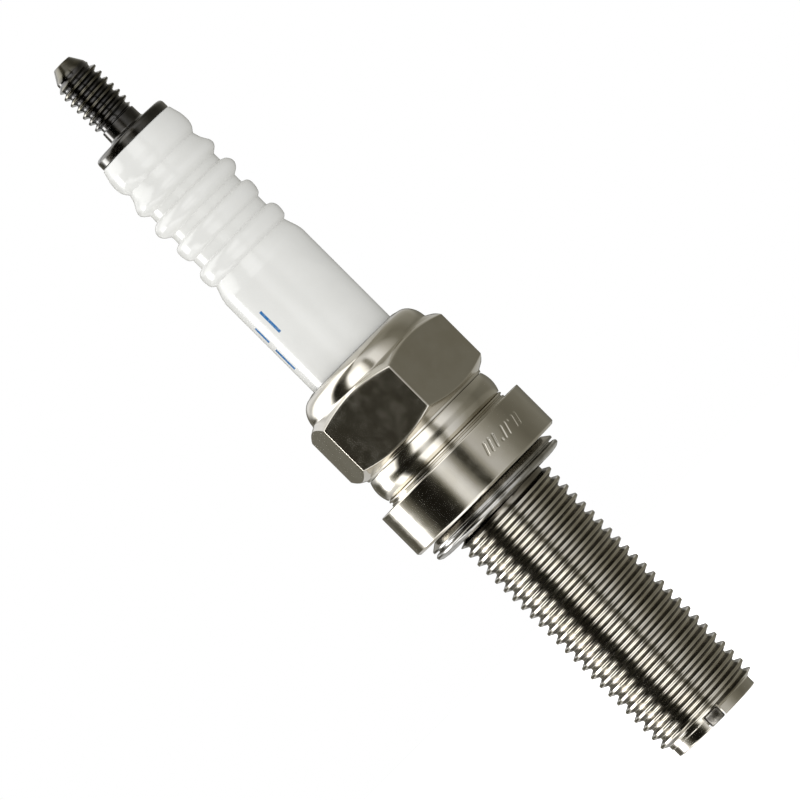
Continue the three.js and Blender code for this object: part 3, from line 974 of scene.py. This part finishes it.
def print_bars(look, height, angle):
    """A mask of the bars, laid out round the barrel by angle and height."""
    total = 0.0
    for turn, middle, half_width, half_height in PRINT_BARS:
        centre = math.radians(FRONT - turn)
        centre = math.atan2(math.sin(centre), math.cos(centre))
        across = look.math("ABSOLUTE", look.math("SUBTRACT", angle, centre))
        along = look.math("ABSOLUTE", look.math("SUBTRACT", height, middle))
        inner, outer = half_width - INK_EDGE, half_width + INK_EDGE
        wide = look.spread(across, inner / BARREL_R, outer / BARREL_R, 1, 0)
        tall = look.spread(along, half_height - INK_EDGE, half_height + INK_EDGE, 1, 0)
        total = look.math("MAXIMUM", total, look.both(wide, tall))
    return total


def glazed_ceramic():
    """White glaze with faint clouding, and blue print bars on the barrel."""
    look = Look("glazed_alumina", metallic=0)
    radius, height, angle = look.axes()
    cloud = look.noise(4.0, detail=3)
    orange_peel = look.noise(0.6, detail=2, seed=2.2)
    ink_wear = look.spread(look.noise(0.3, detail=3, seed=5.0), 0.3, 0.5, 0.75, 1.0)
    outside = look.spread(radius, BARREL_R - 0.18, BARREL_R - 0.08)
    ink = look.both(look.both(print_bars(look, height, angle), ink_wear), outside)
    look.set("Base Color", look.mix(ink, look.two_tone(cloud, *GLAZE), INK))
    look.set("Roughness", look.vary(orange_peel, 0.09, 0.15))
    look.set("Normal", look.bump(orange_peel, 0.0015))
    return look.material


def terminal_steel():
    """Blackened, oiled steel: olive-brown on the thread's crests and the tip, partly wear and partly
    painted highlight that grows towards the tip, and glossy.
    """
    look = Look("terminal_steel", metallic=1, Coat_Weight=1, Coat_Roughness=0.05)
    radius, height, _ = look.axes()
    cloud = look.noise(0.5, detail=5)
    lines = look.noise(0.05, stretch=(40, 40, 1), detail=3)
    # painted highlight: the crests and the tip take the lighter tone, partly wear and partly painted
    # highlight, and it grows lighter towards the tip
    crest = look.spread(radius, TERMINAL_ROOT_R + 0.1, TERMINAL_ROOT_R + 0.3)
    tip = look.spread(height, STUD_TOP - 1.3, STUD_TOP - 0.8)
    upper = look.spread(height, TERMINAL_THREAD_LOW, TERMINAL_THREAD_LOW + 3, 0.2, 1)
    wear_and_highlight = look.both(look.math("MAXIMUM", crest, tip), upper)
    black = look.two_tone(cloud, *OXIDE)
    look.set("Base Color", look.mix(wear_and_highlight, black, look.two_tone(cloud, *WORN_OXIDE_AND_HIGHLIGHT)))
    look.set("Roughness", look.vary(cloud, 0.16, 0.3))
    look.set("Normal", look.bump(lines, 0.0015, look.bump(cloud, 0.006)))
    return look.material


def plain_metal(name, light, dark, rough_low, rough_high, grain_mm):
    """A metal with a two-tone mottle and fine grain."""
    look = Look(name, metallic=1)
    cloud = look.noise(grain_mm * 6, detail=4)
    grain = look.noise(grain_mm, detail=3, seed=1.7)
    look.set("Base Color", look.two_tone(cloud, light, dark))
    look.set("Roughness", look.vary(cloud, rough_low, rough_high))
    look.set("Normal", look.bump(grain, grain_mm * 0.05))
    return look.material


def plain_mineral(name, light, dark, rough_low, rough_high, grain_mm):
    """Glass, carbon or powder: a two-tone mottle and a grain."""
    look = Look(name)
    cloud = look.noise(grain_mm * 4, detail=4)
    grain = look.noise(grain_mm, detail=4, seed=4.4)
    look.set("Base Color", look.two_tone(cloud, light, dark))
    look.set("Roughness", look.vary(grain, rough_low, rough_high))
    look.set("Normal", look.bump(grain, grain_mm * 0.1))
    return look.material


# ---- Studio -----------------------------------------------------------------------------

# Brightness that reflections see round the plug, by degrees to the left of the camera: level
# with it, raised, lowered, then overhead and underfoot.
LEVEL = [
    (-180, 0.12),
    (-140, 0.22),
    (-110, 0.18),
    (-90, 0.16),
    (-80, 0.19),
    (-65, 0.24),
    (-50, 0.4),
    (-36, 0.6),
    (-26, 0.66),
    (-18, 0.4),
    (-12, 0.05),
    (-4, 0.05),
    (4, 0.36),
    (12, 0.85),
    (20, 1.08),
    (26, 0.95),
    (31, 0.42),
    (35, 0.12),
    (39, 0.034),
    (50, 0.012),
    (64, 0.01),
    (76, 0.03),
    (88, 0.2),
    (95, 0.5),
    (100, 1.2),
    (106, 9.0),
    (118, 9.0),
    (126, 0.9),
    (134, 0.12),
    (148, 0.1),
    (159, 0.18),
    (180, 0.12),
]
RAISED = [
    (-180, 0.7),
    (-160, 0.4),
    (-140, 0.3),
    (-120, 0.26),
    (-90, 0.2),
    (-70, 0.24),
    (-50, 0.55),
    (-30, 1.0),
    (-18, 1.1),
    (-12, 0.25),
    (-6, 0.3),
    (0, 1.4),
    (10, 2.2),
    (34, 1.9),
    (40, 0.3),
    (45, 0.05),
    (56, 0.02),
    (69, 0.02),
    (74, 0.5),
    (79, 1.9),
    (86, 2.7),
    (104, 3.0),
    (128, 2.4),
    (142, 0.7),
    (160, 1.0),
    (180, 0.7),
]
LOWERED = [
    (-180, 0.5),
    (-140, 0.3),
    (-90, 0.2),
    (-60, 0.35),
    (-30, 0.8),
    (-18, 0.9),
    (-12, 0.3),
    (-6, 0.4),
    (0, 1.2),
    (10, 1.9),
    (33, 1.7),
    (39, 0.25),
    (44, 0.04),
    (69, 0.02),
    (74, 0.6),
    (79, 2.1),
    (86, 2.7),
    (93, 2.3),
    (102, 1.1),
    (118, 1.0),
    (128, 0.85),
    (142, 0.45),
    (160, 0.7),
    (180, 0.5),
]
OVERHEAD = [
    (-180, 0.7),
    (-150, 0.35),
    (-120, 0.3),
    (-60, 0.4),
    (-20, 0.8),
    (20, 1.0),
    (35, 0.25),
    (70, 0.25),
    (85, 2.0),
    (150, 2.0),
    (180, 0.7),
]
BRIGHTEST = max(level for _, level in LEVEL + RAISED + LOWERED + OVERHEAD)
RAISED_FROM = (0.1, 0.28)  # sines of the elevations between which a band takes over
LOWERED_FROM = (0.12, 0.25)
OVERHEAD_FROM = (0.7, 0.95)
WARM_LIGHT = (1.06, 1.0, 0.76)  # the colour of what is dim, such as the room's cards
DIM_LEVEL = 0.7
DOME_LEFT = 22  # degrees left of the camera where the soft light on matt surfaces is strongest
DOME_LEVEL = 0.71
DOME_SWING = 0.36
GLOW_LEFT = 150  # degrees left of the camera where a glow behind the plug lights its edge
GLOW_LEVEL = 1.4
GLOW_EDGE = (0.5, 0.9)  # the cosine from the glow's middle at which it starts and is full


def band(nodes, stops, share):
    """The light all round the plug, by share of the turn, from stops of (degrees, level)."""
    ramp = nodes.node("ShaderNodeValToRGB")
    nodes.feed(ramp.inputs["Fac"], share)
    elements = ramp.color_ramp.elements
    elements.remove(elements[-1])
    for index, (degrees, level) in enumerate(stops):
        position = (degrees + 180) / 360
        stop = elements[0] if index == 0 else elements.new(position)
        stop.position = position
        dim = max(0, 1 - level / DIM_LEVEL)
        tint = [1 + (part - 1) * dim for part in WARM_LIGHT]
        stop.color = (*[level / BRIGHTEST * part for part in tint], 1)
    return ramp.outputs["Color"]


def room_light(nodes, direction):
    """What reflections see in a direction: the four bands, blended by its height."""
    # the camera's direction is turned to +X, and its left to -Y
    turn = nodes.node("ShaderNodeVectorRotate", rotation_type="Z_AXIS")
    nodes.feed(turn.inputs["Vector"], direction)
    nodes.feed(turn.inputs["Angle"], -math.radians(FRONT))
    ahead, right, up = nodes.split(turn.outputs[0])
    around = nodes.math("ARCTAN2", nodes.both(right, -1), ahead)
    share = nodes.math("MULTIPLY_ADD", around, 1 / math.tau, 0.5)
    height = nodes.math("ABSOLUTE", up)
    depth = nodes.both(up, -1)
    level = band(nodes, LEVEL, share)
    upper = nodes.mix(nodes.spread(height, *RAISED_FROM), level, band(nodes, RAISED, share))
    sides = nodes.mix(nodes.spread(depth, *LOWERED_FROM), upper, band(nodes, LOWERED, share))
    return nodes.mix(nodes.spread(height, *OVERHEAD_FROM), sides, band(nodes, OVERHEAD, share))


def towards(nodes, direction, degrees_left):
    """The cosine between a direction and the level one this far left of the camera."""
    angle = math.radians(FRONT - degrees_left)
    made = nodes.node("ShaderNodeVectorMath", operation="DOT_PRODUCT")
    nodes.feed(made.inputs[0], direction)
    nodes.feed(made.inputs[1], (math.cos(angle), math.sin(angle), 0))
    return made.outputs["Value"]


def dome_light(nodes, direction):
    """The brightness that lights matt surfaces from a direction: a dome, and a glow behind."""
    dome = nodes.math("MULTIPLY_ADD", towards(nodes, direction, DOME_LEFT), DOME_SWING, DOME_LEVEL)
    glow = nodes.spread(towards(nodes, direction, GLOW_LEFT), *GLOW_EDGE, 0, GLOW_LEVEL)
    return nodes.math("ADD", dome, glow)


def set_world():
    """White to the camera. Reflections see soft boxes and dark cards round the plug, and matt
    surfaces are lit by a smooth dome."""
    world = bpy.data.worlds.new("studio")
    bpy.context.scene.world = world
    world.use_nodes = True
    world.node_tree.nodes.clear()
    nodes = Nodes(world.node_tree)
    direction = nodes.node("ShaderNodeTexCoord").outputs["Generated"]
    ray = nodes.node("ShaderNodeLightPath").outputs

    def background(color, strength):
        made = nodes.node("ShaderNodeBackground")
        nodes.feed(made.inputs["Color"], color)
        nodes.feed(made.inputs["Strength"], strength)
        return made.outputs[0]

    def choose(kind, otherwise, chosen):
        made = nodes.node("ShaderNodeMixShader")
        for socket, value in zip(made.inputs, (ray[kind], otherwise, chosen)):
            nodes.feed(socket, value)
        return made.outputs[0]

    reflected = background(room_light(nodes, direction), BRIGHTEST)
    dome = background((1, 1, 1), dome_light(nodes, direction))
    lighting = choose("Is Diffuse Ray", reflected, dome)
    surround = choose("Is Camera Ray", lighting, background((1, 1, 1), 1))
    nodes.feed(nodes.node("ShaderNodeOutputWorld").inputs["Surface"], surround)
    world.cycles.sampling_method = "NONE"


FLOOR_RADIUS = 0.6  # metres
FLOOR_DROP = 0.00002  # metres, so that the floor and the firing end don't share a plane
FLOOR_TONES = ((0.86, 0.86, 0.86), (0.82, 0.82, 0.82))
FLOOR_GLOW = 0.9


def make_floor():
    """A plain pale floor that the plug stands on. It neither lights the plug nor shows in it."""
    shape = bmesh.new()
    bmesh.ops.create_circle(shape, cap_ends=True, radius=FLOOR_RADIUS, segments=96)
    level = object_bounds()[0][2] - FLOOR_DROP
    floor = add_piece(shape, "floor")
    floor.location.z = level
    floor.visible_glossy = False
    floor.visible_diffuse = False
    look = Look("pale_floor", Roughness=0.9)
    look.set("Base Color", look.mix(look.noise(60, detail=3), *FLOOR_TONES))
    look.set("Emission Color", (1, 1, 1))
    look.set("Emission Strength", FLOOR_GLOW)
    floor.data.materials.append(look.material)


CAMERA_DISTANCE = 0.8  # metres
FRAME_WIDTH = 0.065  # metres across the picture at the plug's axis
CAMERA_ROLL = -45.03  # degrees
AIM_Z = 36.6
AIM_ASIDE = 0.14  # to the right of the axis


def make_camera():
    """Square to the axis, with the firing end towards the lower right corner."""
    data = bpy.data.cameras.new("camera")
    data.lens = data.sensor_width * CAMERA_DISTANCE / FRAME_WIDTH
    data.clip_start = 0.01
    data.clip_end = 10
    turn = math.radians(VIEW_AZIMUTH)
    back = Vector((math.sin(turn), -math.cos(turn), 0))
    right = Vector((math.cos(turn), math.sin(turn), 0))
    up = Vector((0, 0, 1))
    tilt = math.radians(CAMERA_ROLL)
    axis_x = right * math.cos(tilt) + up * math.sin(tilt)
    axis_y = up * math.cos(tilt) - right * math.sin(tilt)
    target = up * AIM_Z * MM + right * AIM_ASIDE * MM
    camera = bpy.data.objects.new("camera", data)
    basis = Matrix((axis_x, axis_y, back)).transposed().to_4x4()
    camera.matrix_world = Matrix.Translation(target + back * CAMERA_DISTANCE) @ basis
    bpy.context.scene.collection.objects.link(camera)
    bpy.context.scene.camera = camera


# ---- Assembly ---------------------------------------------------------------------------

steel = plated_steel()
thin_steel = gasket_steel()
ceramic = glazed_ceramic()
dark_steel = terminal_steel()
nickel = plain_metal("electrode_nickel", (0.42, 0.4, 0.36), (0.16, 0.15, 0.135), 0.08, 0.2, 0.05)
precious = plain_metal("precious_metal", (0.75, 0.75, 0.76), (0.66, 0.66, 0.67), 0.2, 0.32, 0.04)
copper = plain_metal("copper", (0.8, 0.42, 0.26), (0.68, 0.31, 0.18), 0.25, 0.4, 0.05)
seal_glass = plain_mineral("seal_glass", (0.22, 0.12, 0.07), (0.13, 0.07, 0.045), 0.2, 0.4, 0.08)
carbon = plain_mineral("resistor_carbon", (0.05, 0.047, 0.043), (0.02, 0.019, 0.018), 0.6, 0.85, 0.08)
talc = plain_mineral("pressed_talc", (0.8, 0.77, 0.71), (0.68, 0.65, 0.59), 0.8, 0.95, 0.1)


def place(piece, node, body, slot, material):
    """A fine surface that stands for a CAD node and rides on its body."""
    piece.data.materials.append(material)
    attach(piece, body)
    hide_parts(node)


bar_size = (BAR_INNER_R, BAR_OUTER_R, BAR_WIDTH, BAR_LOW, BAR_HIGH, BAR_ROUND)
pad_size = (PAD_INNER_R, PAD_OUTER_R, PAD_WIDTH, PAD_LOW, PAD_HIGH, PAD_ROUND)
bar = make_bar("ground_electrode_surface", *bar_size)
pad = make_bar("ground_electrode_tip_surface", *pad_size)

place(make_shell(), "shell", "plug_body", "plated_steel", steel)
place(make_gasket(), "gasket", "gasket", "gasket_steel", thin_steel)
place(make_insulator(), "insulator", "plug_body", "insulator_ceramic", ceramic)
place(make_terminal(), "terminal_stud", "plug_body", "terminal_steel", dark_steel)
place(make_centre_electrode(), "centre_electrode", "plug_body", "electrode_nickel", nickel)
place(make_centre_tip(), "centre_electrode_tip", "plug_body", "precious_metal", precious)
place(bar, "ground_electrode", "plug_body", "electrode_nickel", nickel)
place(pad, "ground_electrode_tip", "plug_body", "precious_metal", precious)

CARRIED_OVER = {
    "centre_electrode_core": copper,
    "glass_seal_lower": seal_glass,
    "glass_seal_upper": seal_glass,
    "resistor": carbon,
    "talc_packing": talc,
    "packing_ring_lower": thin_steel,
    "packing_ring_upper": thin_steel,
    "seat_packing": thin_steel,
}
for node_name, material in CARRIED_OVER.items():
    carried = frame["nodes"][node_name]
    for material_slot in carried.material_slots:
        material_slot.material = material

set_world()
make_floor()
make_camera()
bpy.context.scene.view_settings.view_transform = "Standard"
